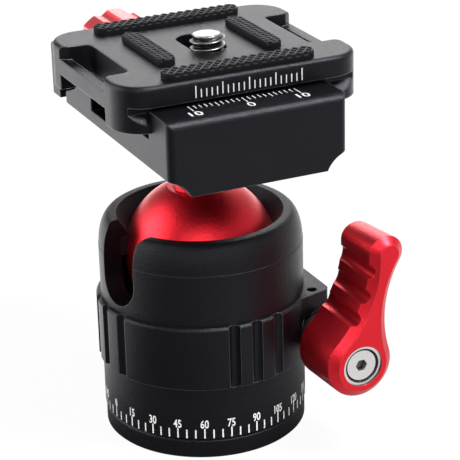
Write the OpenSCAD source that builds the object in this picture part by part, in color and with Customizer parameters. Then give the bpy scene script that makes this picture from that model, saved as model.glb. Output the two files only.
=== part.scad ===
// Tripod ball head: panning base, ball in a notched cup, lever with wedge lock,
// jaw clamp with a screw knob, and a sliding quick release plate.
// Frame: origin at the centre of the foot, X along the plate, -Y to the scale side, Z up. Units mm.

/* [Base and housing] */
// outer radius of the cup, which the base and the collar follow
cup_r = 18.9; // [17:0.05:24]
// height of the foot
base_h = 3.75; // [2:0.05:8]
// top of the degree ring
sleeve_top = 14.05; // [10:0.05:18]
// radius of the tripod socket, three eighths of an inch minor diameter
socket_r = 3.97; // [2.5:0.01:5]
// depth of the tripod socket
socket_depth = 9.0; // [5:0.1:9.5]
// top of the gripped collar
collar_top = 26.3; // [20:0.05:30]
// top of the cup rim
cup_top = 41.55; // [36:0.05:46]
// where the cup's rounded shoulder begins
band_z = 36.0; // [34:0.1:40]
// width of the rounded shoulder
shoulder = 2.4; // [0.5:0.05:3]
// width of the drop notch
notch_w = 9.45; // [8:0.05:12]
// bottom of the drop notch
notch_z = 27.65; // [26:0.1:34]
// direction of the drop notch about Z
notch_dir = 191.4; // [0:0.1:360]

/* [Ball] */
// radius of the ball
ball_r = 14.0; // [10:0.05:20]
// height of the ball's centre
ball_z = 33.6; // [30:0.05:40]
// radius of the flat on top of the ball
flat_r = 5.8; // [5:0.05:7]
// radius of the neck
neck_r = 4.2; // [3:0.05:5]
// underside of the clamp
clamp_z = 55.3; // [50:0.05:60]

/* [Lever] */
// height of the lever's axis
lever_z = 19.1; // [15:0.05:24]
// radius of the lever's hub
hub_r = 6.25; // [5:0.01:8]
// radius of the lever's end
tip_r = 3.29; // [2:0.01:5]
// sideways offset of the lever's end
tip_x = 5.31; // [0:0.01:10]
// height of the lever's end above its axis
tip_z = 20.39; // [15:0.01:26]
// radius of both waists
waist_r = 21.19; // [15:0.01:40]
// length of the lever along its axis
lever_len = 12.8; // [9:0.05:16]
// width of the front bevel
bevel = 1.45; // [0.5:0.05:2]
// radius of the finger grooves
groove_r = 1.5; // [1:0.05:2]

/* [Clamp and plate] */
// half length of the clamp
clamp_x = 16.7; // [12:0.05:22]
// front face of the clamp
clamp_y0 = -26.3; // [-30:0.05:-22]
// rear face of the fixed part
clamp_y1 = 22.1; // [20:0.05:26]
// height of the ruler ledge
ledge_z = 68.65; // [66:0.05:70]
// half width of the dovetail
dove_y = 19.0; // [18:0.05:20]
// depth of the V groove
groove_d = 1.9; // [1:0.05:3]
// underside of the plate
plate_z0 = 64.9; // [64:0.05:67]
// top of the plate
plate_z1 = 73.0; // [71:0.05:75]
// left end of the plate
plate_x0 = -21.6; // [-26:0.05:-18]
// right end of the plate
plate_x1 = 24.2; // [18:0.05:30]
// corner radius of the plate
plate_cr = 6.0; // [3:0.1:8]
// rounding of the plate's top edge
plate_ch = 0.8; // [0.2:0.05:1.5]
// height of the rubber pads over the plate
pad_t = 1.2; // [0.4:0.05:2]
// length of the front and rear pads
pad_long = 28.6; // [20:0.1:34]
// length of the side pads
pad_side = 18.8; // [12:0.1:24]
// middle of the slot along X
slot_x = 1.36; // [-5:0.01:5]
// camera screw's place along the slot
screw_y = -2.7; // [-3:0.05:3]
// radius of the camera screw, a quarter of an inch
screw_r = 3.175; // [2:0.001:5]
// top of the camera screw
screw_top = 75.5; // [74:0.05:78]

/* [Clamp knob] */
// height of the knob's axis
knob_z = 61.3; // [60:0.05:64]
// radius over the knob's lobes
knob_r = 8.3; // [6:0.05:9]
// length of the lobed part
knob_len = 9.0; // [5:0.05:14]
// number of lobes
knob_n = 9; // [6:1:18]

/* [Which node] */
// node to draw

/* [Hidden] */
$fn = 96;
// cutting allowance and running clearance
e = 0.1;
run = 0.02;

// radii that follow the cup
base_r = cup_r - 0.05;
sleeve_r = cup_r + 0.1;
collar_r0 = cup_r + 0.2;
collar_r1 = cup_r + 0.85;
skirt_wall = 1.4;
skirt_r = cup_r - 2.3;
skirt_bore = skirt_r - skirt_wall;
rim_r = cup_r - 3.5;
mouth_r = cup_r - 5.5;
pan_wall = 4.43;
pan_r = socket_r + pan_wall;
nut_w = 4.1;
floor_wall = 2.6;

// heights in the panning base
pan_gap = 0.2;
sleeve_z = base_h + pan_gap;
hub_h = 6.65;
hub_top = base_h + hub_h;
washer_t = 0.9;
floor_z = base_h + washer_t;
floor_t = 2.75;
floor_top = floor_z + floor_t;
wave_t = 0.7;
wave_top = floor_top + wave_t;

// heights in the cup
lip_t = 3.35;
lip_z = cup_top - lip_t;
ring_t = 3.6;
ring_z = lip_z - ring_t;
seat_drop = 0.25;
seat_r = skirt_bore - 0.1;
seat_foot = 1.9;
seat_z = lever_z - seat_foot;
seat_gap = 7.4;
seat_top = ball_z - seat_gap;

// wedge, its ramp and its thread
lever_in = 1.9;
lever_x = cup_r - lever_in;
ramp = 0.4;
ramp_rise = 3.8;
ramp_z = lever_z + ramp_rise;
boss_out = 15.2;
boss_y = -boss_out;
boss_r = 3.7;
wedge_l = 7.4;
wedge_y1 = boss_y + 13.3;
wedge_y0 = wedge_y1 - wedge_l;
ramp_y = (wedge_y0 + wedge_y1) / 2;
wedge_in = 4.3;
wedge_out = 2.2;
wedge_x0 = lever_x - wedge_in;
wedge_x1 = lever_x + wedge_out;
wedge_foot = 2.5;
wedge_z = lever_z - wedge_foot;
pocket_gap = 0.75;
pocket_y0 = wedge_y0 - pocket_gap;
pocket_y1 = wedge_y1 + 0.9;
pocket_h = 8.6;
thread_r = 1.6;
spin_r = 2.5;
bush_r = 3.05;
bush_l = 2.4;
bush_y = boss_y + bush_l;
lug_out = 1.3;
lug_x = cup_r + lug_out;
lug_t = 3.7;
lug_z = collar_top - lug_t;
pin_y = bush_y + 1.2;
pin_r = 0.93;
pin_l = 3.2;
spring_r = 0.8;
spring_l = 5.18;
spring_at = skirt_bore - 1.3;
spring_z = wedge_z - run - 4.58;

// lever stack along its axis
lever_gap = 3.3;
lever_y1 = boss_y - lever_gap;
lever_y0 = lever_y1 - lever_len;
cap_r = 3.8;
cap_in = 3.3;
cap_d = 1.7;
cap_y = lever_y0 + cap_d;
head_r = 2.85;
seat_d = 2.1;
head_y = lever_y0 + seat_d;
bolt_r = 1.5;
spin_y = lever_y0 + 3.3;
washer_y = boss_y - 1.2;

// clamp
stem_r = 2.95;
stem_foot = 12.3;
recess_z = clamp_z + 2.0;
recess_r = 5.3;
head_z = recess_z + 0.5;
head_h = 2.6;
chan_y = 9.1;
slot_front = 2.5;
slot_floor = clamp_z + 5.3;
chan_z = clamp_z + 8.3;
relief_y = 14.5;
relief_w = 3.4;
rail_z = plate_z0 - run;
wall_y = dove_y - 2.5;
root_y = dove_y - groove_d;
flange_z = plate_z0 + 1.25;
root_z = flange_z + groove_d;
edge_r = 1.6;
corner_r = 1.4;
foot_r = 5.47;
foot_x = 1.08;
foot_z = 2.26;

// seam between the fixed part and the moving jaw, from the wall outwards
seam_wall = 7.65;
seam_root = 7.05;
seam_mid = 6.05;
seam_low = 5.42;
seam_foot = 5.2;
seam_y1 = wall_y + 0.8;
seam_y2 = wall_y + 3.4;
seam_y3 = clamp_y1 - 0.5;
seam_gap = 0.4;

// guides, jaw and knob
guide_x = 11.0;
guide_z = clamp_z + 8.1;
guide_r = 0.9;
guide_in = 5.0;
guide_y1 = clamp_y1 + 5.9;
coil_r = 1.35;
coil_l = 4.2;
bore_r = 1.45;
jaw_gap = 3.2;
jaw_y0 = clamp_y1 + jaw_gap;
jaw_t = 3.7;
jaw_y1 = jaw_y0 + jaw_t;
jaw_drop = 3.1;
jaw_z = clamp_z + jaw_drop;
csc_r = 2.5;
disc_t = 0.9;
disc_y = jaw_y1 + disc_t;
hub_l = 1.6;
knob_y0 = disc_y + hub_l;
knob_y1 = knob_y0 + knob_len;
screw_y0 = chan_y + 0.5;
screw_y1 = knob_y0 + 5.5;
knob_hub = knob_r - 1.9;
valley = 106;
cap_well = 3.0;
cap_floor = knob_y1 - 1.9;

// plate
deck_t = 2.5;
deck_z = plate_z1 - deck_t;
chan_gap = 1.7;
plate_chan_y = chan_y + chan_gap;
chan_rise = 2.9;
plate_chan_z = plate_z0 + chan_rise;
groove_w = 1.28;
groove_z = root_z + groove_w;
head_low = 6.42;
head_top = plate_z1 - head_low;
screw_head_r = 5.5;
screw_neck = 2.9;
thread_z = plate_z1 + 0.2;
pad_x = slot_x - 0.06;
pad_y = 15.4;
pad_w = 3.8;
pad_out = 10.2;

// a rod along +Y from y0 to y1, centred at x, z
module rod(r, x, z, y0, y1) {
  translate([x, y0, z])
    rotate([-90, 0, 0])
      cylinder(r = r, h = y1 - y0);
}

// a hexagonal prism along +Y
module hexrod(r, x, z, y0, y1) {
  translate([x, y0, z])
    rotate([-90, 0, 0])
      linear_extrude(height = y1 - y0)
        polygon([for (i = [0:5]) [r * cos(60 * i), r * sin(60 * i)]]);
}

// a YZ profile drawn out along X from x0 to x1
module along_x(pts, x0, x1) {
  translate([x0, 0, 0])
    rotate([90, 0, 90])
      linear_extrude(height = x1 - x0)
        polygon(pts);
}

// a stadium of length len and width wid along X
module stadium(len, wid) {
  square([len - wid, wid], center = true);
  for (s = [-1, 1])
    translate([s * (len - wid) / 2, 0])
      circle(r = wid / 2);
}

// a ring of rectangular section
module ring(r0, r1, z0, z1) {
  translate([0, 0, z0])
    difference() {
      cylinder(r = r1, h = z1 - z0);
      translate([0, 0, -e])
        cylinder(r = r0, h = z1 - z0 + 2 * e);
    }
}

module base_disc() {
  edge = 0.35;
  rotate_extrude()
    polygon([[0, socket_depth], [socket_r, socket_depth], [socket_r, 0], [base_r - edge, 0],
      [base_r, edge], [base_r, base_h - edge], [base_r - edge, base_h], [pan_r, base_h],
      [pan_r, hub_top], [0, hub_top]]);
}

module pan_washer() {
  ring(pan_r + 0.6, skirt_bore - 1.2, base_h, floor_z);
}

module pan_wave_washer() {
  ring(pan_r + 0.4, pan_r + nut_w - 0.2, floor_top, wave_top);
}

module pan_nut() {
  nut_r = pan_r + nut_w;
  slot = 2.0;
  deep = 1.4;
  difference() {
    ring(pan_r, nut_r, wave_top, hub_top);
    // spanner slots
    for (a = [0:60:300])
      rotate(a)
        translate([nut_r - deep, -slot / 2, (wave_top + hub_top) / 2])
          cube([2 * deep, slot, nut_w]);
  }
}

module floor_ring() {
  difference() {
    union() {
      ring(pan_r + 0.05, skirt_bore, floor_z, floor_top);
      ring(skirt_bore - floor_wall, skirt_bore, floor_top, wedge_z - run);
    }
    for (a = [60, 150, 240])
      rotate(a)
        translate([spring_at, 0, spring_z])
          cylinder(r = spring_r + 0.05, h = spring_l + 1);
  }
}

module seat_springs() {
  pitch = spring_l / 5;
  wire = pitch / 2;
  for (a = [60, 150, 240])
    rotate(a)
      translate([spring_at, 0, spring_z])
        rotate_extrude()
          polygon(concat([[0.3, 0]],
            [for (i = [0:4]) each [[spring_r, pitch * (i + 0.1)], [spring_r, pitch * (i + 0.1) + wire],
              [0.55, pitch * (i + 0.8)]]],
            [[0.55, spring_l], [0.3, spring_l]]));
}

module scale_sleeve() {
  edge = 0.2;
  rotate_extrude()
    polygon([[skirt_r, sleeve_z], [sleeve_r - edge, sleeve_z], [sleeve_r, sleeve_z + edge],
      [sleeve_r, sleeve_top], [skirt_r, sleeve_top]]);
}

// the space that the wedge and its thread need through skirt and collar
module wedge_pocket() {
  x0 = wedge_x0 - 0.7;
  translate([x0, pocket_y0, wedge_z - run])
    cube([wedge_x1 + e - x0, pocket_y1 - pocket_y0, pocket_h]);
}

// the bores along the spindle's axis
module spindle_bores() {
  rod(bush_r, lever_x, lever_z, boss_y - e, bush_y);
  rod(spin_r + 0.05, lever_x, lever_z, bush_y - e, pocket_y0 + e);
}

module lug() {
  corner = 0.7;
  root_x = lug_x - 12.2;
  web_x = lug_x - 6.5;
  // the flange, with its sloped front flank
  translate([0, 0, lug_z])
    linear_extrude(height = lug_t)
      polygon([[root_x, 0], [lug_x, 0.6], [lug_x, boss_y + 3.4], [lug_x - corner, boss_y + 2.3],
        [lug_x - 6.2, boss_y + 0.9], [lug_x - 8.6, boss_y + 0.3], [root_x, boss_y + 3.2]]);
  // the web from the boss up to the flange
  translate([web_x, boss_y + 3.5, lever_z])
    cube([lug_x - 0.1 - web_x, 0.3 - boss_y - 3.5, lug_z - lever_z + 1]);
  rod(boss_r, lever_x, lever_z, boss_y, 0.2);
}

module grip_collar() {
  edge = 0.4;
  // low band under the grip
  band = 0.25;
  flute = 2.4;
  deep = 0.9;
  difference() {
    union() {
      rotate_extrude()
        polygon([[0, sleeve_top], [collar_r0, sleeve_top], [collar_r0, sleeve_top + band],
          [collar_r1, sleeve_top + band], [collar_r1, collar_top - edge],
          [collar_r1 - edge, collar_top], [0, collar_top]]);
      lug();
    }
    translate([0, 0, sleeve_top - e])
      cylinder(r = skirt_r, h = collar_top);
    // groups of three flutes
    for (a = [-193.5, -178.5, -163, -97.3, -84.3, -70.2, 7.4, 22.4, 37.4, 67.4, 82.4, 97.4, 127.4])
      rotate(a)
        translate([collar_r1, 0, sleeve_top - e])
          linear_extrude(height = collar_top)
            polygon([[1, -flute / 2 - 0.1], [1, flute / 2 + 0.1], [-deep * 0.3, flute * 0.42],
              [-deep * 0.8, flute * 0.24], [-deep, flute * 0.08], [-deep, -flute * 0.08],
              [-deep * 0.8, -flute * 0.24], [-deep * 0.3, -flute * 0.42]]);
    wedge_pocket();
    spindle_bores();
    translate([lever_x, pin_y, lever_z])
      cylinder(r = pin_r + 0.02, h = collar_top);
  }
}

// the drop notch's cutter
module drop_notch() {
  half = notch_w / 2;
  flare = 0.7;
  rise = 1.2;
  rotate(notch_dir)
    translate([cup_r / 2, 0, 0])
      rotate([90, 0, 90])
        linear_extrude(height = cup_r)
          union() {
            translate([0, notch_z + half])
              circle(r = half);
            translate([-half, notch_z + half])
              square([notch_w, cup_top]);
            polygon([[-half - flare, cup_top + e], [-half, cup_top - rise], [half, cup_top - rise],
              [half + flare, cup_top + e]]);
          }
}

module cup_housing() {
  step = 0.08;
  high = cup_top - band_z - e;
  skirt_z = floor_z - 0.35;
  difference() {
    rotate_extrude()
      polygon(concat([[skirt_bore, skirt_z], [skirt_r, skirt_z], [skirt_r, collar_top],
        [cup_r, collar_top], [cup_r, band_z]],
        // shoulder: a quarter of an ellipse from the band up to the rim
        [for (t = [0:10:90]) [cup_r - step - shoulder * (1 - cos(t)), band_z + e + high * sin(t)]],
        [[rim_r, cup_top], [mouth_r, lip_z + e], [mouth_r, lip_z], [skirt_bore, lip_z]]));
    drop_notch();
    wedge_pocket();
  }
}

module upper_seat_ring() {
  difference() {
    translate([0, 0, ring_z])
      cylinder(r = skirt_bore, h = lip_z - ring_z);
    translate([0, 0, ball_z])
      sphere(r = ball_r + run);
    drop_notch();
  }
}

module lower_seat() {
  well = 6.5;
  y0 = wedge_y0 - 0.9;
  y1 = wedge_y1 + 0.4;
  difference() {
    translate([0, 0, seat_z])
      cylinder(r = seat_r, h = seat_top - seat_z);
    translate([0, 0, seat_z - e])
      cylinder(r = well, h = seat_top);
    translate([0, 0, ball_z - seat_drop])
      sphere(r = ball_r + run);
    // ramp pocket for the wedge
    along_x([[y0, seat_z - e], [y1, seat_z - e], [y1, ramp_z + ramp * (y1 - ramp_y)],
      [y0, ramp_z + ramp * (y0 - ramp_y)]], wedge_x0 - 0.3, cup_r);
  }
}

module wedge_nut() {
  difference() {
    along_x([[wedge_y0, wedge_z], [wedge_y1, wedge_z],
      [wedge_y1, ramp_z + ramp * (wedge_y1 - ramp_y) - run],
      [wedge_y0, ramp_z + ramp * (wedge_y0 - ramp_y) - run]], wedge_x0, wedge_x1);
    rod(thread_r + run, lever_x, lever_z, wedge_y0 - e, wedge_y1 + e);
  }
}

module lever_spindle() {
  rod(spin_r, lever_x, lever_z, spin_y, bush_y + 0.15);
  rod(thread_r, lever_x, lever_z, bush_y + 0.05, wedge_y1 + 0.6);
  // collar against the pocket
  rod(spin_r, lever_x, lever_z, pocket_y0 - 0.6, pocket_y0 - 0.05);
}

module spindle_bush() {
  difference() {
    rod(bush_r, lever_x, lever_z, boss_y, bush_y);
    rod(spin_r + 0.05, lever_x, lever_z, boss_y - e, bush_y + e);
  }
}

module spindle_pin() {
  translate([lever_x, pin_y, lever_z + thread_r + 0.05])
    cylinder(r = pin_r + 0.02, h = pin_l);
}

// centres of the two waists, tangent to the hub and to the end
tip_d = norm([tip_x, tip_z]);
tip_a = atan2(tip_z, tip_x);
tip_c = [tip_x, tip_z];
side_h = waist_r + hub_r;
side_t = waist_r + tip_r;
foot = (side_h * side_h - side_t * side_t + tip_d * tip_d) / (2 * tip_d);
rise = sqrt(side_h * side_h - foot * foot);

function pt(c, r, a) = [c[0] + r * cos(a), c[1] + r * sin(a)];
function waist(s) = pt(pt([0, 0], foot, tip_a), rise, tip_a + s * 90);
// angle from p to q, within half a turn of near
function toward(p, q, near) = let (a = atan2(q[1] - p[1], q[0] - p[0]))
  a - 360 * round((a - near) / 360);
// n points on an arc, without its last one
function arc(c, r, a0, a1, n) = [for (i = [0:n - 1]) pt(c, r, a0 + (a1 - a0) * i / n)];

// half of the lever's outline drawn in by d, upwards on side s; -1 is the right side
function flank(d, s) = let (
    w = waist(s),
    h = toward([0, 0], w, tip_a + s * 90),
    t = toward(tip_c, w, tip_a + s * 90),
    b0 = toward(w, [0, 0], h + 180),
    b1 = toward(w, tip_c, h + 180))
  concat(arc([0, 0], hub_r - d, tip_a + s * 180, h, 16), arc(w, waist_r + d, b0, b1, 20),
    arc(tip_c, tip_r - d, t, tip_a, 12), [pt(tip_c, tip_r - d, tip_a)]);

// the lever's rear end has a broader hub and a lower, narrower tip than its front
function drafted(p, f) = [p[0] * (1 + f * (0.06 - 0.0045 * p[1])),
  p[1] * (1 + f * (0.06 - 0.0045 * p[1]))];

// a closed solid through both flanks at each Y; the ends are ladders from flank to flank
module loft_y(insets, ys) {
  n = len(flank(0, 1));
  m = len(insets);
  ringed = 2 * n - 2;
  function loop(right, left) = concat(right, [for (i = [n - 2:-1:1]) left[i]]);
  pts = [for (k = [0:m - 1]) for (p = loop(flank(insets[k], -1), flank(insets[k], 1)))
    let (q = drafted(p, max(0, (ys[k] - ys[1]) / (ys[m - 1] - ys[1])))) [q[0], ys[k], q[1]]];
  sides = [for (k = [0:m - 2]) for (i = [0:ringed - 1])
    let (a = k * ringed + i, b = k * ringed + (i + 1) % ringed)
      each [[a, b, a + ringed], [b, b + ringed, a + ringed]]];
  rungs = concat([for (i = [1:n - 2]) [i, ringed - i, ringed - i - 1]],
    [for (i = [0:n - 3]) [i, ringed - i - 1, i + 1]]);
  top = (m - 1) * ringed;
  polyhedron(points = pts,
    faces = concat(rungs, sides, [for (f = rungs) [f[2] + top, f[1] + top, f[0] + top]]));
}

module main_lever() {
  rear = 0.9;
  // step between the bevel and the raised front face
  rim_step = 0.2;
  // finger grooves: place along and across the lever's axis
  grooves = [[8.4, 3.75], [12.7, 2.95], [17.15, 3.15]];
  difference() {
    union() {
      translate([lever_x, 0, lever_z])
        loft_y([bevel, bevel - 0.1, 0, 0, rear],
          [lever_y0, lever_y0 + rim_step, lever_y0 + bevel, lever_y1 - rear, lever_y1]);
      rod(boss_r + 0.5, lever_x, lever_z, lever_y1 - 0.5, washer_y);
    }
    for (g = grooves)
      let (p = pt(pt([0, 0], g[0], tip_a), g[1], tip_a + 90))
        rod(groove_r, lever_x + p[0], lever_z + p[1], lever_y0 - e, lever_y1 + e);
    rod(cap_r, lever_x, lever_z, lever_y0 - e, cap_y);
    rod(head_r + 0.05, lever_x, lever_z, lever_y0 - e, head_y);
    rod(bolt_r, lever_x, lever_z, lever_y0 - e, spin_y + e);
    rod(spin_r, lever_x, lever_z, spin_y, washer_y + e);
  }
}

module lever_cap_ring() {
  difference() {
    rod(cap_r, lever_x, lever_z, lever_y0 + 0.3, cap_y);
    rod(cap_in, lever_x, lever_z, lever_y0, cap_y + e);
  }
}

module lever_screw() {
  hex_r = 1.15;
  difference() {
    union() {
      rod(head_r, lever_x, lever_z, lever_y0 + 0.6, head_y);
      rod(bolt_r, lever_x, lever_z, head_y - e, spin_y);
    }
    hexrod(hex_r, lever_x, lever_z, lever_y0, cap_y);
  }
}

module lever_washer() {
  difference() {
    rod(boss_r + 0.5, lever_x, lever_z, washer_y, boss_y - run);
    rod(spin_r, lever_x, lever_z, washer_y - e, boss_y);
  }
}

module ball() {
  ball_flat = ball_z + sqrt(ball_r * ball_r - flat_r * flat_r);
  root_r = neck_r + 0.7;
  difference() {
    union() {
      difference() {
        translate([0, 0, ball_z])
          sphere(r = ball_r);
        translate([-ball_r, -ball_r, ball_flat])
          cube([2 * ball_r, 2 * ball_r, ball_r]);
      }
      rotate_extrude()
        polygon([[0, ball_flat - 1], [root_r, ball_flat - 1], [root_r, ball_flat],
          [neck_r + 0.2, ball_flat + 0.5], [neck_r, ball_flat + 1.2], [neck_r, clamp_z - 1.2],
          [neck_r + 0.25, clamp_z - 0.4], [neck_r + 0.25, clamp_z - run],
          [0, clamp_z - run]]);
    }
    translate([0, 0, clamp_z - stem_foot - 1.5])
      cylinder(r = stem_r + 0.05, h = clamp_z);
  }
}

module clamp_body() {
  over_z = root_z - 0.12;
  difference() {
    along_x(concat([[clamp_y1, clamp_z], [clamp_y1, clamp_z + seam_foot],
      [seam_y3, clamp_z + seam_low], [seam_y2, clamp_z + seam_mid], [seam_y1, clamp_z + seam_root],
      [wall_y, clamp_z + seam_wall], [wall_y, rail_z], [chan_y, rail_z], [chan_y, slot_floor],
      [-slot_front, slot_floor], [-slot_front, chan_z], [-chan_y, chan_z], [-chan_y, rail_z],
      [-relief_y, rail_z], [-relief_y, chan_z], [-relief_y - relief_w, chan_z],
      [-relief_y - relief_w, rail_z], [-dove_y - 0.03, rail_z], [-dove_y - 0.03, flange_z + run],
      [-root_y - 0.15, over_z + run], [-root_y - 0.15, ledge_z - 0.15],
      [-root_y - 0.3, ledge_z]],
      // rounded front edge of the ledge
      [for (t = [0:15:90]) [clamp_y0 + edge_r - edge_r * sin(t), ledge_z - edge_r + edge_r * cos(t)]],
      [[clamp_y0, clamp_z]]), -clamp_x, clamp_x);
    for (s = [-1, 1]) {
      // hollow cut under the end
      rod(foot_r, s * (clamp_x + foot_x), clamp_z - foot_z, clamp_y0 - e, clamp_y1 + e);
      // rounded front corner
      translate([s * (clamp_x - corner_r), clamp_y0 + corner_r, clamp_z - e])
        difference() {
          translate([s > 0 ? 0 : -corner_r - e, -corner_r - e, 0])
            cube([corner_r + e, corner_r + e, ledge_z]);
          cylinder(r = corner_r, h = ledge_z);
        }
      // guide and its spring
      rod(guide_r, s * guide_x, guide_z, wall_y - guide_in, wall_y + e);
      rod(bore_r, s * guide_x, guide_z, wall_y, wall_y + coil_l + e);
    }
    translate([0, 0, recess_z])
      cylinder(r = recess_r, h = chan_z - recess_z + e);
    translate([0, 0, clamp_z - e])
      cylinder(r = stem_r, h = recess_z - clamp_z + 2 * e);
    rod(csc_r + 0.05, 0, knob_z, chan_y - e, clamp_y1 + e);
  }
}

module stem_bolt() {
  hex_r = 2.3;
  foot_z = clamp_z - stem_foot;
  difference() {
    union() {
      translate([0, 0, foot_z])
        cylinder(r = stem_r, h = head_z - foot_z + e);
      translate([0, 0, head_z])
        cylinder(r = recess_r - 0.3, h = head_h);
    }
    translate([0, 0, head_z + 1.2])
      linear_extrude(height = head_h)
        polygon([for (i = [0:5]) [hex_r * cos(60 * i), hex_r * sin(60 * i)]]);
  }
}

module stem_washer() {
  ring(stem_r, recess_r - 0.1, recess_z, head_z);
}

module guide_pins() {
  for (s = [-1, 1])
    rod(guide_r, s * guide_x, guide_z, wall_y - guide_in, guide_y1);
}

module jaw_springs() {
  pitch = (coil_l - 0.2) / 4;
  low = guide_r + 0.25;
  for (s = [-1, 1])
    translate([s * guide_x, wall_y, guide_z])
      rotate([-90, 0, 0])
        rotate_extrude()
          polygon(concat([[guide_r + 0.05, 0]],
            [for (i = [0:3]) each [[coil_r, pitch * (i + 0.1)], [coil_r, pitch * (i + 0.6)],
              [low, pitch * (i + 0.8)]]],
            [[low, coil_l], [guide_r + 0.05, coil_l]]));
}

module moving_jaw() {
  over_z = root_z - 0.12;
  in_y = wall_y + 0.35;
  edge = 1.1;
  difference() {
    along_x(concat([[root_y + 0.15, over_z + run], [dove_y + 0.03, flange_z + run],
      [dove_y + 0.03, rail_z - e], [in_y, rail_z - e], [in_y, clamp_z + seam_wall + seam_gap],
      [seam_y1 + 0.2, clamp_z + seam_root + seam_gap], [seam_y2, clamp_z + seam_mid + seam_gap],
      [seam_y3, clamp_z + seam_low + seam_gap], [jaw_y0, clamp_z + seam_foot + 0.1],
      [jaw_y0, jaw_z], [jaw_y1, jaw_z]],
      // rounded rear edge
      [for (t = [0:15:90]) [jaw_y1 - edge + edge * cos(t), ledge_z - edge + edge * sin(t)]],
      [[root_y + 0.3, ledge_z], [root_y + 0.15, ledge_z - 0.15]]), -clamp_x, clamp_x);
    rod(csc_r + 0.05, 0, knob_z, wall_y, jaw_y1 + e);
    for (s = [-1, 1]) {
      rod(guide_r + 0.05, s * guide_x, guide_z, wall_y, jaw_y1 + e);
      rod(bore_r, s * guide_x, guide_z, wall_y, wall_y + coil_l + 0.05);
    }
  }
}

module clamp_screw() {
  rod(csc_r, 0, knob_z, screw_y0, screw_y1);
}

module knob_washer() {
  difference() {
    rod(knob_hub - 0.9, 0, knob_z, jaw_y1 + run, disc_y);
    rod(csc_r, 0, knob_z, jaw_y1 - e, disc_y + e);
  }
}

module clamp_knob() {
  cut = 1.7;
  deep = 0.9;
  edge = 0.6;
  at = knob_r + cut - deep;
  turn = 360 / knob_n;
  difference() {
    union() {
      rod(knob_hub, 0, knob_z, disc_y, knob_y0 + e);
      translate([0, knob_y0, knob_z])
        rotate([-90, 0, 0])
          rotate_extrude()
            polygon([[0, 0], [knob_r - edge, 0], [knob_r, edge], [knob_r, knob_len - edge],
              [knob_r - edge, knob_len], [0, knob_len]]);
    }
    // scallops between the lobes
    for (i = [0:knob_n - 1])
      rod(cut, at * cos(i * turn + valley), knob_z + at * sin(i * turn + valley), knob_y0 - e,
        knob_y1 + e);
    rod(csc_r, 0, knob_z, disc_y - e, screw_y1);
    rod(bolt_r, 0, knob_z, screw_y1 - e, knob_y1);
    rod(cap_well, 0, knob_z, cap_floor, knob_y1 + e);
  }
}

module knob_screw() {
  hex_r = 1.5;
  difference() {
    union() {
      rod(bolt_r, 0, knob_z, screw_y1, cap_floor + e);
      rod(cap_well - 0.05, 0, knob_z, cap_floor, knob_y1 - 0.2);
    }
    hexrod(hex_r, 0, knob_z, cap_floor + 0.6, knob_y1);
  }
}

// rounded block of the plate's plan, chamfered at the top
module plate_block() {
  x0 = plate_x0 + plate_cr;
  x1 = plate_x1 - plate_cr;
  y1 = dove_y - plate_cr;
  // profile from the underside up over the rounded top edge, measured in from the wall
  rim = concat([[0, plate_z0]],
    [for (t = [0:30:90]) [plate_ch * (1 - cos(t)), plate_z1 - plate_ch * (1 - sin(t))]]);
  for (x = [x0, x1])
    for (y = [-y1, y1])
      translate([x, y, 0])
        rotate_extrude()
          polygon(concat([[0, plate_z0]], [for (p = rim) [plate_cr - p[0], p[1]]],
            [[0, plate_z1]]));
  along_x(concat([for (p = rim) [dove_y - p[0], p[1]]],
    [for (i = [4:-1:0]) [rim[i][0] - dove_y, rim[i][1]]]), x0, x1);
  translate([0, y1, 0])
    rotate([90, 0, 0])
      linear_extrude(height = 2 * y1)
        polygon(concat([for (p = rim) [plate_x1 - p[0], p[1]]],
          [for (i = [4:-1:0]) [plate_x0 + rim[i][0], rim[i][1]]]));
}

// strap slot cut, from the end face inwards; s is the side
module strap_cut(s) {
  xe = s < 0 ? plate_x0 : plate_x1;
  deep = s < 0 ? 5.4 : 6.1;
  half = 9.5;
  mouth = half + 1.7;
  translate([xe, 0, plate_chan_z])
    linear_extrude(height = plate_z1)
      polygon([[s * 0.5, -mouth], [-s * 0.3, -half - 1], [-s * 1.3, -half - 0.1],
        [-s * (deep - 1.2), -half], [-s * (deep - 0.35), 0.4 - half], [-s * deep, 1.3 - half],
        [-s * deep, half - 1.3], [-s * (deep - 0.35), half - 0.4], [-s * (deep - 1.2), half],
        [-s * 1.3, half + 0.1], [-s * 0.3, half + 1], [s * 0.5, mouth]]);
}

module qr_plate() {
  bar = 2.0;
  bar_z = plate_z1 - 2.4;
  slot_l = 12.6;
  slot_w = 6.6;
  head_w = 2 * screw_head_r + 0.6;
  difference() {
    plate_block();
    // V grooves along both sides
    for (s = [-1, 1])
      along_x([[s * (dove_y + 1), flange_z - 1], [s * root_y, root_z], [s * root_y, groove_z],
        [s * (dove_y + 1), groove_z]], plate_x0 - 1, plate_x1 + 1);
    // channel underneath
    translate([plate_x0 - 1, -plate_chan_y, plate_z0 - 1])
      cube([plate_x1 - plate_x0 + 2, 2 * plate_chan_y, chan_rise + 1]);
    // strap slots, each with a bar left at the outer end
    for (s = [-1, 1])
      difference() {
        strap_cut(s);
        translate([s < 0 ? plate_x0 - e : plate_x1 - bar, -plate_chan_y - 2, plate_chan_z - e])
          cube([bar + e, 2 * plate_chan_y + 4, bar_z - plate_chan_z + e]);
      }
    // slot for the camera screw, wider underneath for its head
    translate([slot_x, 0.1, plate_chan_z - e])
      rotate(90)
        linear_extrude(height = plate_z1)
          stadium(slot_l, slot_w);
    translate([slot_x, 0.1, plate_chan_z - e])
      rotate(90)
        linear_extrude(height = deck_z - plate_chan_z + e)
          stadium(slot_l - slot_w + head_w, head_w);
  }
}

module bar_pad(len, wid) {
  edge = 0.3;
  linear_extrude(height = pad_t - edge)
    stadium(len, wid);
  linear_extrude(height = pad_t)
    stadium(len - 2 * edge, wid - 2 * edge);
}

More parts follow.
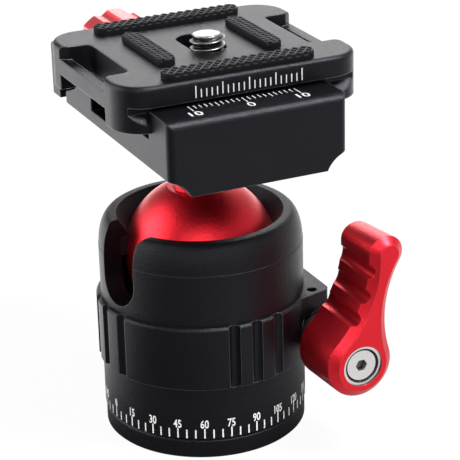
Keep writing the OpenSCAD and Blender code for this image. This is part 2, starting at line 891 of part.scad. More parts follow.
module pad_front() {
  translate([pad_x, -pad_y - 0.1, plate_z1])
    bar_pad(pad_long, pad_w);
}

module pad_rear() {
  translate([pad_x, pad_y - 0.1, plate_z1])
    bar_pad(pad_long, pad_w);
}

module pad_left() {
  translate([pad_x - pad_out, 0, plate_z1])
    rotate(90)
      bar_pad(pad_side, pad_w - 0.5);
}

module pad_right() {
  translate([pad_x + pad_out, 0, plate_z1])
    rotate(90)
      bar_pad(pad_side, pad_w - 0.5);
}

module screw_clip() {
  translate([slot_x, screw_y, 0])
    ring(screw_neck + 0.05, screw_head_r - 0.2, deck_z - 0.5, deck_z - run);
}

module screw_washer() {
  translate([slot_x, screw_y, 0])
    ring(screw_neck + 0.05, screw_head_r - 0.2, head_top + run, head_top + 0.5);
}

module camera_screw() {
  slot = 1.3;
  head = 2.0;
  edge = 0.5;
  translate([slot_x, screw_y, 0])
    difference() {
      rotate_extrude()
        polygon([[0, head_top - head], [screw_head_r, head_top - head], [screw_head_r, head_top],
          [screw_neck, head_top], [screw_neck, thread_z], [screw_r, thread_z],
          [screw_r, screw_top - edge], [screw_r - edge, screw_top], [0, screw_top]]);
      // coin slot
      translate([-screw_head_r - e, -slot / 2, head_top - head - e])
        cube([2 * (screw_head_r + e), slot, head / 2 + e]);
    }
}

black = [0.10, 0.10, 0.11];
red = [0.70, 0.05, 0.08];
steel = [0.75, 0.75, 0.76];
plastic = [0.25, 0.25, 0.26];
rubber = [0.05, 0.05, 0.05];

color(black) base_disc();
color(plastic) pan_washer();
color(steel) pan_wave_washer();
color(steel) pan_nut();
color(black) scale_sleeve();
color(black) grip_collar();
color(black) cup_housing();
color(plastic) upper_seat_ring();
color(black) floor_ring();
color(steel) seat_springs();
color(plastic) spindle_bush();
color(steel) spindle_pin();
color(plastic) lower_seat();
color(steel) wedge_nut();
color(steel) lever_spindle();
color(red) main_lever();
color(steel) lever_cap_ring();
color(steel) lever_screw();
color(steel) lever_washer();
color(red) ball();
color(black) clamp_body();
color(steel) stem_bolt();
color(steel) stem_washer();
color(steel) guide_pins();
color(steel) jaw_springs();
color(black) moving_jaw();
color(steel) clamp_screw();
color(red) clamp_knob();
color(steel) knob_screw();
color(steel) knob_washer();
color(black) qr_plate();
color(rubber) pad_front();
color(rubber) pad_rear();
color(rubber) pad_left();
color(rubber) pad_right();
color(steel) screw_clip();
color(steel) screw_washer();
color(steel) camera_screw();
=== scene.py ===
"""Tripod ball head: black and red anodised parts, printed scales, knurled pads and a camera screw."""
import math

import bpy
import numpy as np
from mathutils import Matrix, Vector


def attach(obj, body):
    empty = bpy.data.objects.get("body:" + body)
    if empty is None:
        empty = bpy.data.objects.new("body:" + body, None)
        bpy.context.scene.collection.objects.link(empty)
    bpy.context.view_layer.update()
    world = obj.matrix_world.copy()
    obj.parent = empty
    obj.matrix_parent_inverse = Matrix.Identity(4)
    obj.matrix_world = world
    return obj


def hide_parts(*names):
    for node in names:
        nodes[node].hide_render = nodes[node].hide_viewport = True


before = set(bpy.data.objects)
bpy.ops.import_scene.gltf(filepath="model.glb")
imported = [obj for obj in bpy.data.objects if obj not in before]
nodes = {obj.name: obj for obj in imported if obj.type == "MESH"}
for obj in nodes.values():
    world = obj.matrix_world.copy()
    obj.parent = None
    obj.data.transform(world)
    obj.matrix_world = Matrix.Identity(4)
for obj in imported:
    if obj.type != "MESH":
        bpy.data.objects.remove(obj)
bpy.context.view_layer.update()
MM = 0.001
FULL_TURN = 2 * math.pi

# ---- places and sizes in millimetres, as in the part's source ----
SLEEVE_R = 19.0         # radius of the degree ring
LEDGE_Z = 68.65         # top of the clamp's ruler ledge
PLATE_FRONT = -19.0     # y of the plate's front face
PLATE_TOP = 73.0        # the plate's deck
PAD_TOP = 74.2          # top of the rubber pads
SLOT_X = 1.36           # x of the plate's slot and its screw
SCREW_Y = -2.7          # where the camera screw stands along the slot
SCREW_R = 3.175         # the camera screw's outer radius
SCREW_TOP = 75.5
LEVER_X = 17.0          # the lever's axis runs along y through this x and z
LEVER_Z = 19.1
SCREW_FACE_Y = -30.7    # front face of the lever's screw

# ---- finish ----
BLACK_IOR = 1.36        # of the sealed black oxide skin
SHADED_BORE_R = 3.82           # how far the painted shade reaches round the lever's axis, in millimetres
ZERO_AT = -84.7         # where the degree ring's 0 is printed, in degrees from the front
PAD_RELIEF = 0.55       # depth of the pads' lattice, in millimetres
INK_SUNK = 0.05         # how deep the ink starts under a surface, in millimetres
INK_PROUD = 0.015       # how far it stands over it
INK_THICK = INK_SUNK + INK_PROUD
INK_MIDDLE = (INK_PROUD - INK_SUNK) / 2

# ---- how bright the floor is towards each side, where 1 is white ----
FRONT_LEFT = 0.07
FRONT_RIGHT = 0.58
BEHIND = 1.8

# ---- how bright the room's walls are, and by how much it darkens overhead ----
FRONT_WALL = 0.6
BACK_WALL = 0.55
LEFT_WALL = 0.6         # share of the right wall's light
OVERHEAD = 0.75

# ---- camera, in pixels and metres ----
FOCAL_PIXELS = 1922.858
PICTURE_PIXELS = 460.0
SENSOR_MM = 36.0
CAMERA_AT = (-0.13141446, -0.30047187, 0.17226233)
CAMERA_RIGHT = (0.90495909, -0.42481675, -0.02407853)
CAMERA_UP = (0.1820465, 0.33541167, 0.92431492)
CAMERA_AHEAD = (0.38458824, 0.8408506, -0.38087025)


def grey(level, blue=None):
    """A grey colour with alpha 1, with its blue part apart where given."""
    return (level, level, level if blue is None else blue, 1)


def add_to_scene(name, data):
    """A new object in the scene's own collection."""
    obj = bpy.data.objects.new(name, data)
    bpy.context.scene.collection.objects.link(obj)
    return obj


def place_camera():
    """Looks down on the front left of the head through a long lens."""
    data = bpy.data.cameras.new("studio_camera")
    data.sensor_width = SENSOR_MM
    data.lens = FOCAL_PIXELS / PICTURE_PIXELS * SENSOR_MM
    data.clip_start = 0.01
    cam = add_to_scene("studio_camera", data)
    turn = Matrix((CAMERA_RIGHT, CAMERA_UP, -Vector(CAMERA_AHEAD))).transposed().to_4x4()
    cam.matrix_world = Matrix.Translation(Vector(CAMERA_AT)) @ turn
    bpy.context.scene.camera = cam


# ---- shader maths ----
class Tap:
    """A socket that can be added, multiplied and so on, each adding one Math node."""

    def __init__(self, finish, socket):
        self.finish, self.socket = finish, socket

    def _two(self, op, a, b):
        return self.finish.add("ShaderNodeMath", {"operation": op}, {0: a, 1: b})

    def __add__(self, other):
        return self._two("ADD", self, other)

    def __sub__(self, other):
        return self._two("SUBTRACT", self, other)

    def __rsub__(self, other):
        return self._two("SUBTRACT", other, self)

    def __mul__(self, other):
        return self._two("MULTIPLY", self, other)

    def __pow__(self, other):
        return self._two("POWER", self, other)

    def above(self, other):
        return self._two("GREATER_THAN", self, other)

    def sine(self):
        return self._two("SINE", self, 0.0)


class Recipe:
    """A node tree that grows one node at a time."""

    def __init__(self, tree):
        self.tree = tree

    def add(self, kind, settings, inputs, out=0):
        """Adds a node, its settings first, then the values or links of its sockets."""
        node = self.tree.nodes.new(kind)
        for key, value in settings.items():
            setattr(node, key, value)
        for key, value in inputs.items():
            if isinstance(value, Tap):
                self.tree.links.new(value.socket, node.inputs[key])
            else:
                node.inputs[key].default_value = value
        return Tap(self, node.outputs[out])

    def outputs(self, tap, *names):
        """Several outputs of the node that a tap belongs to."""
        return [Tap(self, tap.socket.node.outputs[name]) for name in names]

    def split(self, vector):
        """The three parts of a vector."""
        return self.outputs(self.add("ShaderNodeSeparateXYZ", {}, {0: vector}), 0, 1, 2)

    def shade(self, level):
        """A grey of a varying level."""
        return self.add("ShaderNodeCombineXYZ", {}, {0: level, 1: level, 2: level})

    def ramp(self, value, low, high):
        """0 below low, 1 above high, and a smooth step between."""
        return self.add("ShaderNodeMapRange", {"interpolation_type": "SMOOTHSTEP"},
                        {"Value": value, "From Min": low, "From Max": high})

    def mix(self, mask, a, b):
        """Colour a where the mask is 0 and b where it is 1."""
        return self.add("ShaderNodeMix", {"data_type": "RGBA"}, {0: mask, 6: a, 7: b}, out=2)


class Finish(Recipe):
    """One surface finish: a Principled shader and whatever feeds it."""

    def __init__(self, name, **fixed):
        self.mat = bpy.data.materials.new(name)
        self.mat.use_nodes = True
        super().__init__(self.mat.node_tree)
        self.shader = self.tree.nodes["Principled BSDF"]
        for key, value in fixed.items():
            self.shader.inputs[key.replace("_", " ")].default_value = value
        self.where = self.add("ShaderNodeTexCoord", {}, {}, out="Object")

    def feed(self, socket, tap):
        """Links a varying value to a socket of the shader."""
        self.tree.links.new(tap.socket, self.shader.inputs[socket])

    def noise(self, scale, detail=3.0, rough=0.6):
        """Noise of about so many grains to the metre."""
        return self.add("ShaderNodeTexNoise", {}, {"Vector": self.where, "Scale": scale,
                                                   "Detail": detail, "Roughness": rough})

    def arris(self, width_mm):
        """1 along edges, where a normal rounded over this width leaves the surface's own."""
        rounded = self.add("ShaderNodeBevel", {"samples": 8}, {"Radius": width_mm * MM})
        own = self.add("ShaderNodeNewGeometry", {}, {}, out="Normal")
        along = self.add("ShaderNodeVectorMath", {"operation": "DOT_PRODUCT"}, {0: rounded, 1: own},
                         out="Value")
        return 1.0 - self.ramp(along, 0.74, 0.97)

    def relief(self, height, depth_mm, soften_mm=0.0):
        """Feeds a bump of this depth, with the edges rounded over soften_mm where given."""
        inputs = {"Height": height, "Distance": depth_mm * MM, "Strength": 1.0}
        if soften_mm:
            inputs["Normal"] = self.add("ShaderNodeBevel", {"samples": 6}, {"Radius": soften_mm * MM})
        self.feed("Normal", self.add("ShaderNodeBump", {}, inputs))


# ---- finishes ----
def off_axis(a, a_mm, b, b_mm):
    """How far a point with parts a and b lies from an axis through a_mm and b_mm."""
    return ((a - a_mm * MM) ** 2.0 + (b - b_mm * MM) ** 2.0) ** 0.5


def anodised_black(name, rough, grain=0.08, turned_mm=0.0, arris_mm=0.28, wear_and_highlight=0.10):
    """Blasted and black anodised: a dark dye under a dull oxide skin, with a very fine grain.

    The edges are rubbed grey, partly wear and partly a painted highlight along the arrises. Turned
    parts add fine rings: a sine of the height."""
    f = Finish(name, Metallic=0.0, IOR=BLACK_IOR, Specular_Tint=(0.86, 0.88, 1.0, 1))
    cloud = f.noise(140.0)
    fine = f.noise(3400.0, 3.0, 0.7)
    dye = f.mix(cloud, grey(0.0012, 0.0020), grey(0.0024, 0.0036))
    # lighter edges: wear together with a painted highlight
    f.feed("Base Color", f.mix(f.arris(0.22), dye, grey(wear_and_highlight, wear_and_highlight * 1.12)))
    f.feed("Roughness", fine * 0.08 + cloud * 0.06 + (rough - 0.07))
    height = fine
    if turned_mm:
        height = fine + (f.split(f.where)[2] * (FULL_TURN / (turned_mm * MM))).sine() * 0.02
    f.relief(height, grain, arris_mm)
    return f.mat


def anodised_red(name, rough, coat, grit=0.0, shaded_bore=False):
    """Red anodised aluminium: metal shines through the dyed skin, under a clear oxide coat.

    The edges are paler, partly wear and partly a painted highlight. Grit is the depth in millimetres of
    a coarser blasted grain. A shaded bore is painted dark round the lever's axis: painted shade in its
    counterbore."""
    f = Finish(name, Metallic=0.92, IOR=1.5, Coat_Weight=coat, Coat_Roughness=0.38, Coat_IOR=1.5)
    cloud = f.noise(120.0)
    fine = f.noise(4800.0, 2.0)
    fine_mm, soften_mm = 0.006, 0.20
    colour = f.mix(cloud, (0.80, 0.007, 0.019, 1), (0.91, 0.013, 0.032, 1))
    if shaded_bore:
        x, _, z = f.split(f.where)
        outside = off_axis(x, LEVER_X, z, LEVER_Z).above(SHADED_BORE_R * MM)
        # painted shade: near black round the lever's axis, inside the counterbore
        colour = f.mix(outside, (0.012, 0.004, 0.004, 1), colour)
    # paler edges: partly wear and partly a painted highlight along the arrises
    f.feed("Base Color", f.mix(f.arris(0.25), colour, (0.93, 0.11, 0.13, 1)))
    f.feed("Roughness", fine * 0.08 + cloud * 0.06 + (rough - 0.07))
    if grit:
        sand = f.noise(2300.0, 4.0, 0.7)
        f.relief(sand * grit + fine * fine_mm, 1.0, soften_mm)
    else:
        f.relief(fine, fine_mm, soften_mm)
    return f.mat


def bright_steel(name, rough, bright):
    """Turned steel with fine tool marks and slight tarnish."""
    f = Finish(name, Metallic=1.0)
    cloud = f.noise(300.0, 4.0)
    fine = f.noise(3500.0, 2.0)
    dull = (bright * 0.85, bright * 0.84, bright * 0.83, 1)
    f.feed("Base Color", f.mix(cloud, dull, (bright * 1.12, bright * 1.10, bright * 1.09, 1)))
    f.feed("Roughness", fine * 0.12 + cloud * 0.08 + (rough - 0.08))
    f.relief(fine, 0.004, 0.08)
    return f.mat


def screw_steel(name):
    """Turned steel of the camera screw, with painted shade at the root of its thread."""
    f = Finish(name, Metallic=1.0)
    cloud = f.noise(300.0, 4.0)
    x, y, z = f.split(f.where)
    off = off_axis(x, SLOT_X, y, SCREW_Y)
    crest = f.ramp(off, (SCREW_R - 0.50) * MM, (SCREW_R - 0.12) * MM)
    lid = f.ramp(z, (SCREW_TOP - 0.5) * MM, (SCREW_TOP - 0.2) * MM)
    unshaded = crest + lid - crest * lid
    metal = f.mix(cloud, (0.36, 0.355, 0.35, 1), (0.46, 0.455, 0.45, 1))
    # painted shade: the thread's roots are painted near black; the crests and the top keep the metal
    f.feed("Base Color", f.mix(unshaded, (0.045, 0.042, 0.040, 1), metal))
    f.feed("Roughness", cloud * 0.12 + 0.28)
    return f.mat


def socket_steel(name):
    """Polished steel of the lever's screw and ring, with painted shade in the hexagon's socket."""
    f = Finish(name, Metallic=1.0)
    cloud = f.noise(300.0, 4.0)
    x, y, z = f.split(f.where)
    deep = f.ramp(y, (SCREW_FACE_Y + 0.05) * MM, (SCREW_FACE_Y + 1.3) * MM)
    socket_shade = deep * (1.0 - off_axis(x, LEVER_X, z, LEVER_Z).above(1.25 * MM))
    metal = f.mix(cloud, (0.84, 0.82, 0.81, 1), (0.92, 0.90, 0.90, 1))
    # painted shade: the socket's hollow is painted near black
    f.feed("Base Color", f.mix(socket_shade, metal, (0.08, 0.075, 0.07, 1)))
    f.feed("Roughness", cloud * 0.1 + 0.28)
    return f.mat


def dark_steel(name):
    """Oxide blackened steel."""
    f = Finish(name, Metallic=0.9)
    cloud = f.noise(300.0, 4.0)
    f.feed("Base Color", f.mix(cloud, grey(0.05, 0.055), grey(0.10, 0.11)))
    f.feed("Roughness", cloud * 0.15 + 0.3)
    f.relief(cloud, 0.01, 0.08)
    return f.mat


def moulded_rubber(name):
    """Black moulded rubber: matt, with the ridge tops painted lighter grey as a painted highlight and
    black in the hollows.
    """
    f = Finish(name, IOR=1.28)
    cloud = f.noise(260.0, 4.0)
    fine = f.noise(6000.0, 2.0)
    crest = f.ramp(f.split(f.where)[2], (PAD_TOP - 0.20) * MM, (PAD_TOP - 0.03) * MM)
    hollow = f.mix(cloud, grey(0.002, 0.003), grey(0.005, 0.006))
    # painted highlight: the ridge tops are lighter grey than the hollows
    f.feed("Base Color", f.mix(crest, hollow, grey(0.055, 0.060)))
    f.feed("Roughness", cloud * 0.12 + 0.55)
    f.relief(fine, 0.01)
    return f.mat


def bearing_plastic(name):
    """Black bearing plastic, slightly waxy."""
    f = Finish(name, IOR=1.4)
    cloud = f.noise(200.0)
    f.feed("Base Color", f.mix(cloud, grey(0.004, 0.005), grey(0.007, 0.008)))
    f.feed("Roughness", cloud * 0.1 + 0.5)
    f.relief(cloud, 0.01)
    return f.mat


def printed_white(name):
    """White ink, slightly uneven."""
    f = Finish(name, IOR=1.45)
    cloud = f.noise(900.0)
    f.feed("Base Color", f.mix(cloud, grey(0.58, 0.59), grey(0.70, 0.71)))
    f.feed("Roughness", cloud * 0.1 + 0.45)
    return f.mat


# ---- surfaces from grids ----
def grid_faces(rows, cols, wrap_cols=False):
    """Quads of a rows by cols grid of points, its columns closed round where asked."""
    i, j = np.meshgrid(np.arange(rows - 1), np.arange(cols if wrap_cols else cols - 1), indexing="ij")
    i, j = i.ravel(), j.ravel()
    i1, j1 = i + 1, (j + 1) % cols
    return np.stack([i * cols + j, i * cols + j1, i1 * cols + j1, i1 * cols + j], 1)


def make_piece(name, points_mm, faces, material, body, smooth=False):
    """A mesh object at the origin with its place in its points, riding on a body."""
    mesh = bpy.data.meshes.new(name)
    corners = [list(map(int, face)) for face in faces]
    mesh.from_pydata((np.asarray(points_mm, float) * MM).tolist(), [], corners)
    mesh.update()
    mesh.polygons.foreach_set("use_smooth", np.full(len(mesh.polygons), smooth))
    mesh.materials.append(material)
    obj = add_to_scene(name, mesh)
    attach(obj, body)
    return obj


def bars(boxes):
    """Points and faces of many small closed boxes, each given as low and high corners."""
    boxes = np.asarray(boxes, float)
    pick = np.array([[0, 0, 0], [1, 0, 0], [1, 1, 0], [0, 1, 0],
                     [0, 0, 1], [1, 0, 1], [1, 1, 1], [0, 1, 1]])
    low, high = boxes[:, None, 0:3], boxes[:, None, 3:6]
    points = (low + (high - low) * pick[None]).reshape(-1, 3)
    quads = np.array([[0, 3, 2, 1], [4, 5, 6, 7], [0, 1, 5, 4],
                      [1, 2, 6, 5], [2, 3, 7, 6], [3, 0, 4, 7]])
    faces = (quads[None] + len(pick) * np.arange(len(boxes))[:, None, None]).reshape(-1, 4)
    return points, faces


def words(text, tall, bold, spread=1.0):
    """Points and faces of a line of figures as thick as the ink, centred on x, standing on y = 0.

    The font's figures are 0.72 of its size tall."""
    curve = bpy.data.curves.new("figures", "FONT")
    curve.body = text
    curve.align_x = "CENTER"
    curve.size = tall / 0.72
    curve.extrude = INK_THICK / 2
    curve.offset = bold
    curve.space_character = spread
    curve.resolution_u = 3
    obj = add_to_scene("figures", curve)
    mesh = bpy.data.meshes.new_from_object(obj.evaluated_get(bpy.context.evaluated_depsgraph_get()))
    points = np.empty(len(mesh.vertices) * 3)
    mesh.vertices.foreach_get("co", points)
    faces = [list(p.vertices) for p in mesh.polygons]
    bpy.data.objects.remove(obj)
    bpy.data.curves.remove(curve)
    bpy.data.meshes.remove(mesh)
    return points.reshape(-1, 3), faces


def gather(parts):
    """Joins several sets of points and faces into one."""
    points, faces, n = [], [], 0
    for some_points, some_faces in parts:
        points.append(some_points)
        faces += [[n + int(i) for i in face] for face in some_faces]
        n += len(some_points)
    return np.vstack(points), faces


def round_ring(points, radius):
    """Wraps a flat drawing round the degree ring: x becomes arc length, y height and z depth of ink."""
    angle = points[:, 0] / radius
    r = radius + points[:, 2]
    return np.stack([r * np.sin(angle), -r * np.cos(angle), points[:, 1]], 1)


# ---- printed scales, in millimetres ----
def printed_degrees(ink):
    """Degree ring: a tick every 5 degrees, a taller one with its number every 15."""
    half, foot, short, tall = 0.13, 4.16, 1.72, 1.95
    figure_tall, figure_foot, narrow, bold = 1.62, 6.25, 0.70, 0.04
    parts = []
    for value in range(0, 360, 5):
        at = math.radians(ZERO_AT + value) * SLEEVE_R
        numbered = value % 15 == 0
        top = foot + (tall if numbered else short)
        parts.append(bars([[at - half, foot, -INK_SUNK, at + half, top, INK_PROUD]]))
        if numbered:
            points, faces = words(str(value), figure_tall, bold)
            parts.append((points * [narrow, 1, 1] + [at, figure_foot, INK_MIDDLE], faces))
    points, faces = gather(parts)
    make_piece("degree_print", round_ring(points, SLEEVE_R), faces, ink, "housing")


def printed_plate_ruler(ink):
    """Millimetre ticks on the plate's front face, a taller one every 5."""
    zero_x, half, foot, short_top, tall_top = 1.7, 0.10, 69.85, 71.3, 72.0
    ticks = []
    for i in range(-10, 11):
        top = tall_top if i % 5 == 0 else short_top
        ticks.append([zero_x + i - half, PLATE_FRONT - INK_PROUD, foot,
                      zero_x + i + half, PLATE_FRONT + INK_SUNK, top])
    points, faces = bars(ticks)
    make_piece("plate_ruler_print", points, faces, ink, "plate")


def printed_ledge_ruler(ink):
    """Millimetre ticks on the clamp's ledge with 10, 0 and 10 in front of them."""
    half, back = 0.08, -19.2
    short_end, middle_end, long_end = -20.7, -21.2, -21.8
    figure_tall, figure_y, wide, bold, spread, aside = 2.0, -24.1, 1.08, 0.03, 0.98, 0.45
    ticks = []
    for i in range(-10, 11):
        end = long_end if i % 10 == 0 else (middle_end if i % 5 == 0 else short_end)
        ticks.append([i - half, end, LEDGE_Z - INK_SUNK, i + half, back, LEDGE_Z + INK_PROUD])
    parts = [bars(ticks)]
    for i in (-10, 0, 10):
        points, faces = words(str(abs(i)), figure_tall, bold, spread)
        at = i - aside if i else 0.0
        parts.append((points * [wide, 1, 1] + [at, figure_y, LEDGE_Z + INK_MIDDLE], faces))
    points, faces = gather(parts)
    make_piece("ledge_ruler_print", points, faces, ink, "clamp")


# ---- rubber pads ----
def stadium_pad(name, centre, length, width, along, pattern, material):
    """Rubber pad: a round ended bar whose top is a relief given by pattern(u, v) from 0 to 1.

    Rows run along the bar; each row spans the bar's width at that place, so the outline follows
    half width = sqrt(r^2 - overhang^2) at the round ends, where rows lie closer. The rim drops down
    the wall to the plate."""
    steps_per_mm, ease = 9, 0.12
    rim_wide, rim_drop, rim_share = 0.12, 0.12, 0.4
    r = width / 2
    straight = length / 2 - r
    n_along, n_across = int(length * steps_per_mm), int(width * steps_per_mm)
    row = np.linspace(-0.5, 0.5, n_along)
    s = np.sin(row * math.pi) * length / 2 * ease + row * length * (1 - ease)
    over = np.clip(np.abs(s) - straight, 0, r)
    half = np.sqrt(np.maximum(r * r - over * over, 0.0)) + 1e-3
    u = np.repeat(s[:, None], n_across, 1)
    v = half[:, None] * np.linspace(-1, 1, n_across)[None]
    edge = np.minimum(half[:, None] - np.abs(v), length / 2 - np.abs(u))
    lift = np.clip(edge / rim_wide, 0, 1)
    proud = PAD_RELIEF * pattern(u, v) * (rim_share + (1 - rim_share) * lift)
    z = PAD_TOP - PAD_RELIEF + proud - rim_drop * (1 - lift) ** 2
    # the skirt repeats the rim lower down, so the grid gets one more point all round
    full = np.empty((n_along + 2, n_across + 2, 3))
    full[1:-1, 1:-1] = np.stack([u, v, z], -1)
    full[0, 1:-1], full[-1, 1:-1] = full[1, 1:-1], full[-2, 1:-1]
    full[:, 0], full[:, -1] = full[:, 1], full[:, -2]
    full[0, :, 2] = full[-1, :, 2] = full[:, 0, 2] = full[:, -1, 2] = PLATE_TOP
    if along == "y":
        full = np.stack([-full[..., 1], full[..., 0], full[..., 2]], -1)
    points = full.reshape(-1, 3) + [centre[0], centre[1], 0]
    return make_piece(name, points, grid_faces(n_along + 2, n_across + 2), material, "plate")


def ridge(x):
    """One at every whole x, falling straight to zero within a fifth to each side."""
    return np.clip(1 - np.abs(x - np.round(x)) * 2 / 0.42, 0, 1)


def lattice(a, b):
    """Two sets of crossing ridges with flat tops: the greater of ridge waves in a and b."""
    return np.clip(1.5 * np.maximum(ridge(a), ridge(b)), 0, 1)


def diamond(u, v):
    """A lattice on both diagonals."""
    return lattice(u / 1.62 + v / 1.9, u / 1.62 - v / 1.9)


def studs(u, v):
    """A square lattice along and across, three cells wide."""
    return lattice(u / 1.16, v / 1.05 + 0.5)


def knurled_pads(rubber):
    """The two long pads with diamonds and the two short ones with squares, for the plain ones."""
    middle_x = SLOT_X - 0.06
    for name, centre, length, width, along, pattern in (
            ("pad_front", (middle_x, -15.5), 28.6, 3.8, "x", diamond),
            ("pad_rear", (middle_x, 15.3), 28.6, 3.8, "x", diamond),
            ("pad_left", (-8.9, 0.0), 18.8, 3.3, "y", studs),
            ("pad_right", (11.5, 0.0), 18.8, 3.3, "y", studs)):
        pad = stadium_pad(name + "_knurl", centre, length, width, along, pattern, rubber)
        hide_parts(name)


# ---- camera screw ----
def threaded_screw(material):
    """Camera screw: its radius over a helix is the major radius less a clipped triangle wave of
    z / pitch - angle / turn, over a round head with chamfered edges."""
    pitch, root_r, chamfer, chamfer_in = 1.27, 2.45, 0.55, 0.75
    head_r, head_foot, head_top, head_edge, neck_r = 5.5, 64.58, 66.58, 0.3, 3.0
    lid_r, centre_r = 1.6, 0.001
    turns = np.linspace(0, FULL_TURN, 97)[:-1]

    def ring(r, z):
        """One ring of points of the turned shape."""
        return np.stack([r * np.cos(turns), r * np.sin(turns), np.full_like(turns, z)], -1)

    shoulder = SCREW_TOP - chamfer
    z = np.concatenate([np.linspace(head_top, shoulder, 180),
                        shoulder + chamfer * np.array([0.3, 0.6, 0.85, 1.0])])
    phase = z[:, None] / pitch - turns[None] / FULL_TURN
    wave = np.abs(phase - np.floor(phase) - 0.5) * 2
    r = root_r + (SCREW_R - root_r) * np.clip(wave * 2.0 - 0.85, 0, 1)
    cap = np.clip((z - shoulder) / chamfer, 0, 1)[:, None]
    r = np.minimum(r, SCREW_R - chamfer_in * cap ** 1.6)
    shaft = [ring(r_here, z_here) for r_here, z_here in zip(r, z)]
    head = [ring(centre_r, head_foot), ring(head_r - head_edge, head_foot),
            ring(head_r, head_foot + head_edge), ring(head_r, head_top - head_edge),
            ring(head_r - head_edge, head_top), ring(neck_r, head_top)]
    stack = np.array(head + shaft + [ring(lid_r, SCREW_TOP), ring(centre_r, SCREW_TOP)])
    points = stack.reshape(-1, 3) + [SLOT_X, SCREW_Y, 0]
    faces = grid_faces(len(stack), len(turns), wrap_cols=True)
    obj = make_piece("camera_screw_thread", points, faces, material, "screw", smooth=True)
    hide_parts("camera_screw")


# ---- finishes on the nodes ----
def dress_nodes(rubber):
    """Gives every CAD node its finish; plain turned steel where none is named."""
    black = anodised_black("black_anodised", 0.36, arris_mm=0.45)
    turned = anodised_black("black_anodised_turned", 0.42, grain=0.11, turned_mm=0.22)
    plate = anodised_black("black_anodised_plate", 0.36, arris_mm=0.5, wear_and_highlight=0.30)
    lever = anodised_red("red_anodised_lever", 0.34, coat=0.36, grit=0.06, shaded_bore=True)
    knob = anodised_red("red_anodised_knob", 0.42, coat=1.0)
    ball = anodised_red("red_blasted_ball", 0.30, coat=0.35, grit=0.10)
    steel = bright_steel("turned_steel", 0.33, 0.34)
    polished = socket_steel("socket_screw_steel")
    oxide = dark_steel("oxide_steel")
    plastic = bearing_plastic("bearing_plastic")
    given = {}
    for finish, names in (
            (turned, "base_disc scale_sleeve cup_housing"),
            (black, "grip_collar floor_ring clamp_body moving_jaw"),
            (plate, "qr_plate"),
            (lever, "main_lever"),
            (knob, "clamp_knob"),
            (ball, "ball"),
            (polished, "lever_screw lever_cap_ring"),
            (oxide, "pan_nut stem_bolt knob_screw spindle_pin"),
            (plastic, "pan_washer upper_seat_ring lower_seat spindle_bush"),
            (rubber, "pad_front pad_rear pad_left pad_right")):
        given.update(dict.fromkeys(names.split(), finish))
    for name, obj in nodes.items():
        obj.data.materials.clear()
        obj.data.materials.append(given.get(name, steel))


# ---- light ----
def soft_box(name, at, look, size, watts):
    """A rectangular lamp at a place, turned to look at another."""
    data = bpy.data.lights.new(name, "AREA")
    data.shape = "RECTANGLE"
    data.size, data.size_y = size
    data.energy = watts
    obj = add_to_scene(name, data)
    obj.location = at
    obj.rotation_euler = (Vector(look) - Vector(at)).to_track_quat("-Z", "Y").to_euler()


def light_room():
    """White where the camera sees it; for the object, walls of several greys, darker overhead."""
    world = bpy.data.worlds.new("studio")
    bpy.context.scene.world = world
    world.use_nodes = True
    room = Recipe(world.node_tree)
    x, y, z = room.split(room.add("ShaderNodeTexCoord", {}, {}, out="Generated"))
    over = 1.0 - room.ramp(z, 0.50, 0.80) * OVERHEAD
    side = room.ramp(x, 0.0, 0.35) * (1.0 - LEFT_WALL) + LEFT_WALL
    walls = room.ramp(y, -0.2, 0.8) * (BACK_WALL - FRONT_WALL) + FRONT_WALL
    seen = room.add("ShaderNodeLightPath", {}, {}, out="Is Camera Ray")
    colour = room.mix(seen, room.shade(walls * over * side), grey(1))
    room.tree.links.new(colour.socket, world.node_tree.nodes["Background"].inputs["Color"])


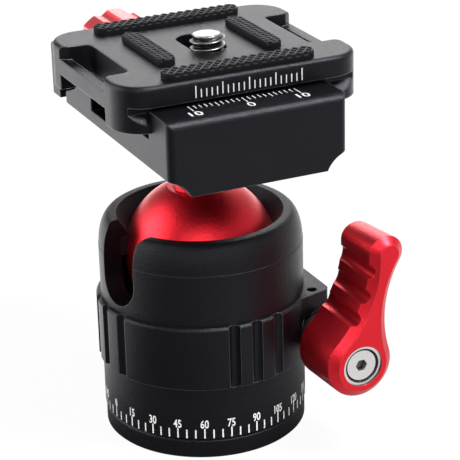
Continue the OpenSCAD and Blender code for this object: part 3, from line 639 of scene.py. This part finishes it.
def hang_lamps():
    """Four soft boxes: behind on the right, on the left, overhead on the right, and in front."""
    foot, low = (0, 0, 0.05), (0, 0, 0.04)
    soft_box("box_back", (0.25, 0.505, 0.27), foot, (0.34, 0.22), 0.80)
    soft_box("box_left", (-0.45, 0.25, 0.24), foot, (0.4, 0.4), 2.2)
    soft_box("box_edge", (0.18, -0.24, 0.56), foot, (0.20, 0.20), 5.5)
    soft_box("box_front", (-0.22, -0.50, 0.36), low, (0.45, 0.25), 1.2)


def lay_floor():
    """A floor that is white to the camera and shines in the object, dimmest on the near left.

    It shines by direction from the middle, less close to the foot, which is a painted shadow round the
    foot; the camera still sees a little of its shadows."""
    side = 3.0
    mesh = bpy.data.meshes.new("floor")
    mesh.from_pydata([(-side, -side, 0), (side, -side, 0), (side, side, 0), (-side, side, 0)], [],
                     [(0, 1, 2, 3)])
    floor = add_to_scene("floor", mesh)
    f = Finish("pale_floor", Roughness=0.9, IOR=1.2, Base_Color=grey(0.86))
    x, y, _ = f.split(f.add("ShaderNodeVectorMath", {"operation": "NORMALIZE"}, {0: f.where}))
    far = f.add("ShaderNodeVectorMath", {"operation": "LENGTH"}, {0: f.where}, out="Value")
    front = f.ramp(x, -0.95, 0.45) * FRONT_RIGHT + FRONT_LEFT
    level = front + f.ramp(y, -0.1, 0.75) * (BEHIND - FRONT_LEFT)
    # painted shadow: the shine drops to a fifth close to the foot
    shine = f.shade(level * (f.ramp(far, 0.018, 0.050) * 0.8 + 0.2))
    ray = f.add("ShaderNodeLightPath", {}, {})
    seen, mirrored = f.outputs(ray, "Is Camera Ray", "Is Glossy Ray")
    glow = f.add("ShaderNodeEmission", {}, {"Color": f.mix(seen, shine, grey(1)), "Strength": 1.0})
    share = seen * 0.94 + mirrored * 0.9
    both = f.add("ShaderNodeMixShader", {}, {0: share, 1: Tap(f, f.shader.outputs[0]), 2: glow})
    f.tree.links.new(both.socket, f.tree.nodes["Material Output"].inputs["Surface"])
    mesh.materials.append(f.mat)


place_camera()
pad_rubber = moulded_rubber("pad_rubber")
dress_nodes(pad_rubber)
white_ink = printed_white("white_ink")
printed_degrees(white_ink)
printed_plate_ruler(white_ink)
printed_ledge_ruler(white_ink)
knurled_pads(pad_rubber)
threaded_screw(screw_steel("camera_screw_steel"))
light_room()
hang_lamps()
lay_floor()
bpy.context.scene.view_settings.view_transform = "Standard"
